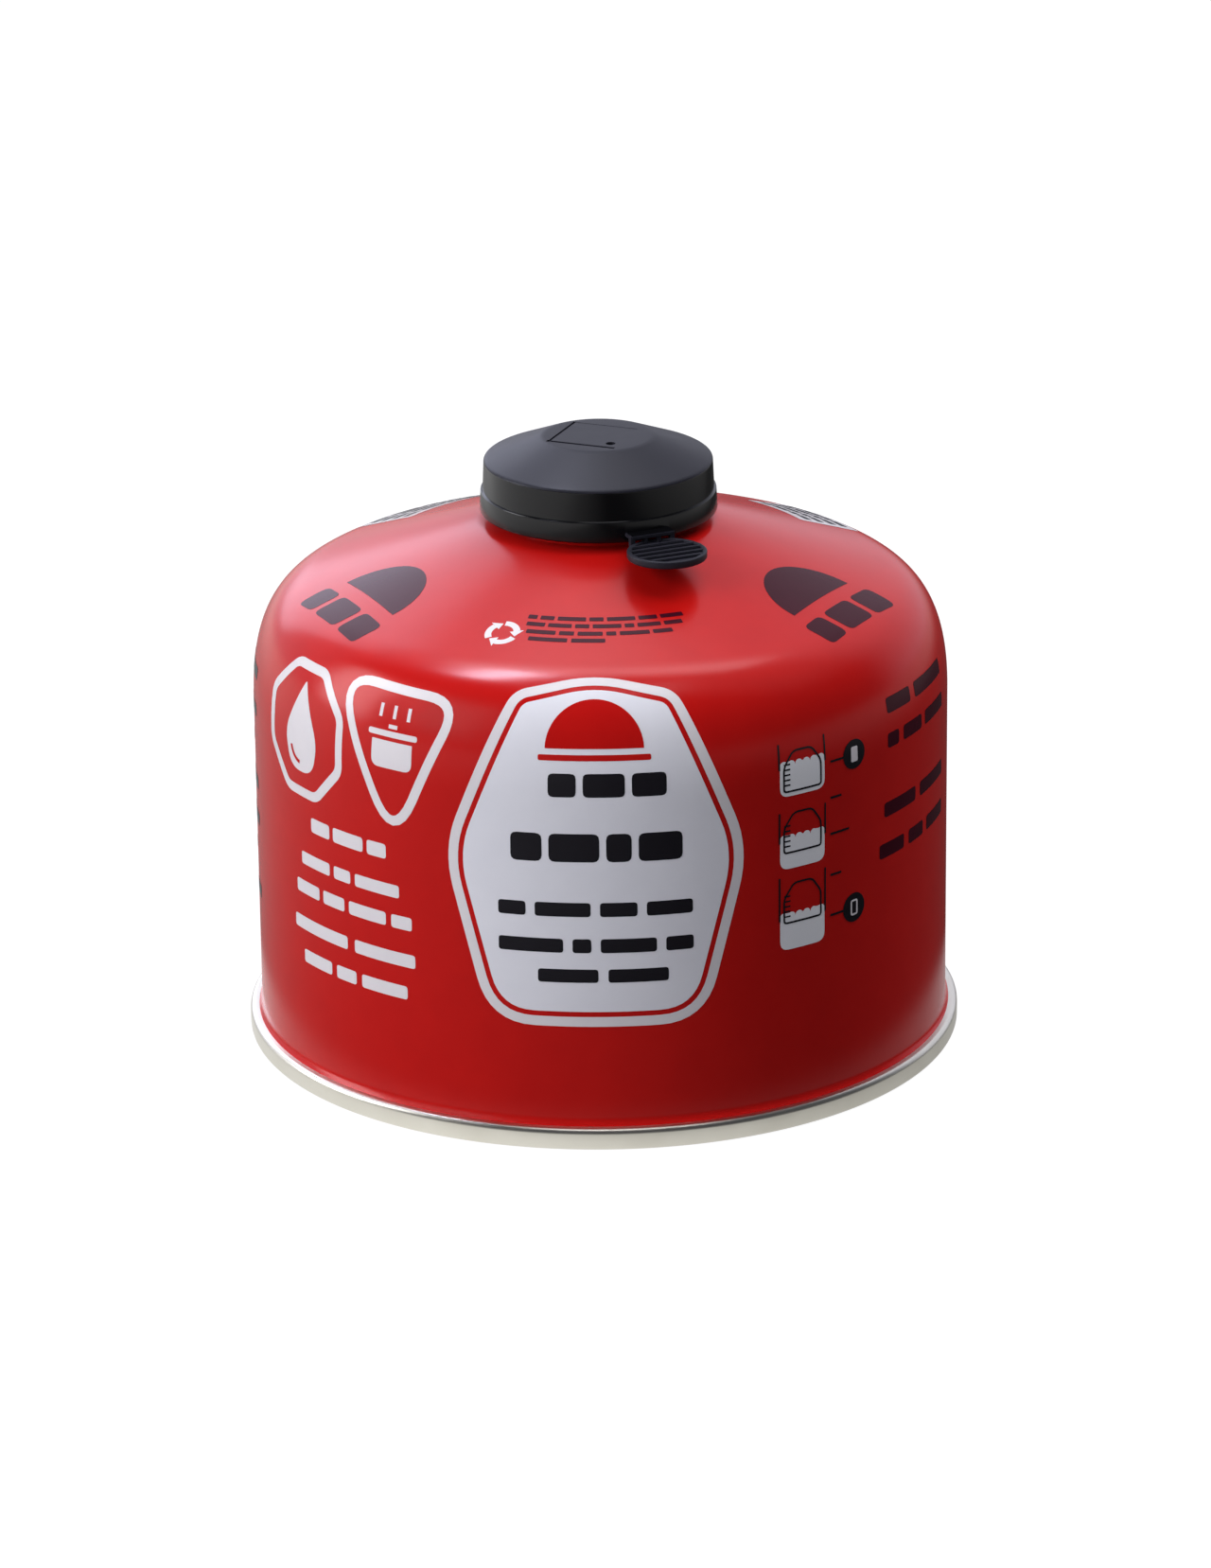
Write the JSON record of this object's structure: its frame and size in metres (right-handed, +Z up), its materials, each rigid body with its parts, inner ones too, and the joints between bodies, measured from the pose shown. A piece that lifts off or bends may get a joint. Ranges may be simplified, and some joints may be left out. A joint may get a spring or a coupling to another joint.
{
  "type": "fuel canister",
  "caption": "Squat round steel gas canister with a domed top, a seamed base ring, a screw valve and a black push-on cap with a pull tab",
  "frame": {"origin": "middle of the flat ring that the base stands on", "axes": "+Z up along the can's axis, -Y the front; the pull tab hangs 24 degrees to the right of the front"},
  "size_m": [0.11, 0.11, 0.0943],
  "materials": {
    "red_enamel": "glossy red enamel on tinplate",
    "tinplate": "bright rolled tinplate",
    "valve_plate": "gold lacquered tinplate",
    "seal_rubber": "matt",
    "white_acetal": "smooth white",
    "black_polyethylene": "satin black moulding"
  },
  "bodies": {
    "root": {"can_body": "red_enamel", "base_end": "tinplate", "valve_cup": "valve_plate", "valve_seal": "seal_rubber", "valve_housing": "white_acetal", "cap": "black_polyethylene"}
  },
  "joints": []
}
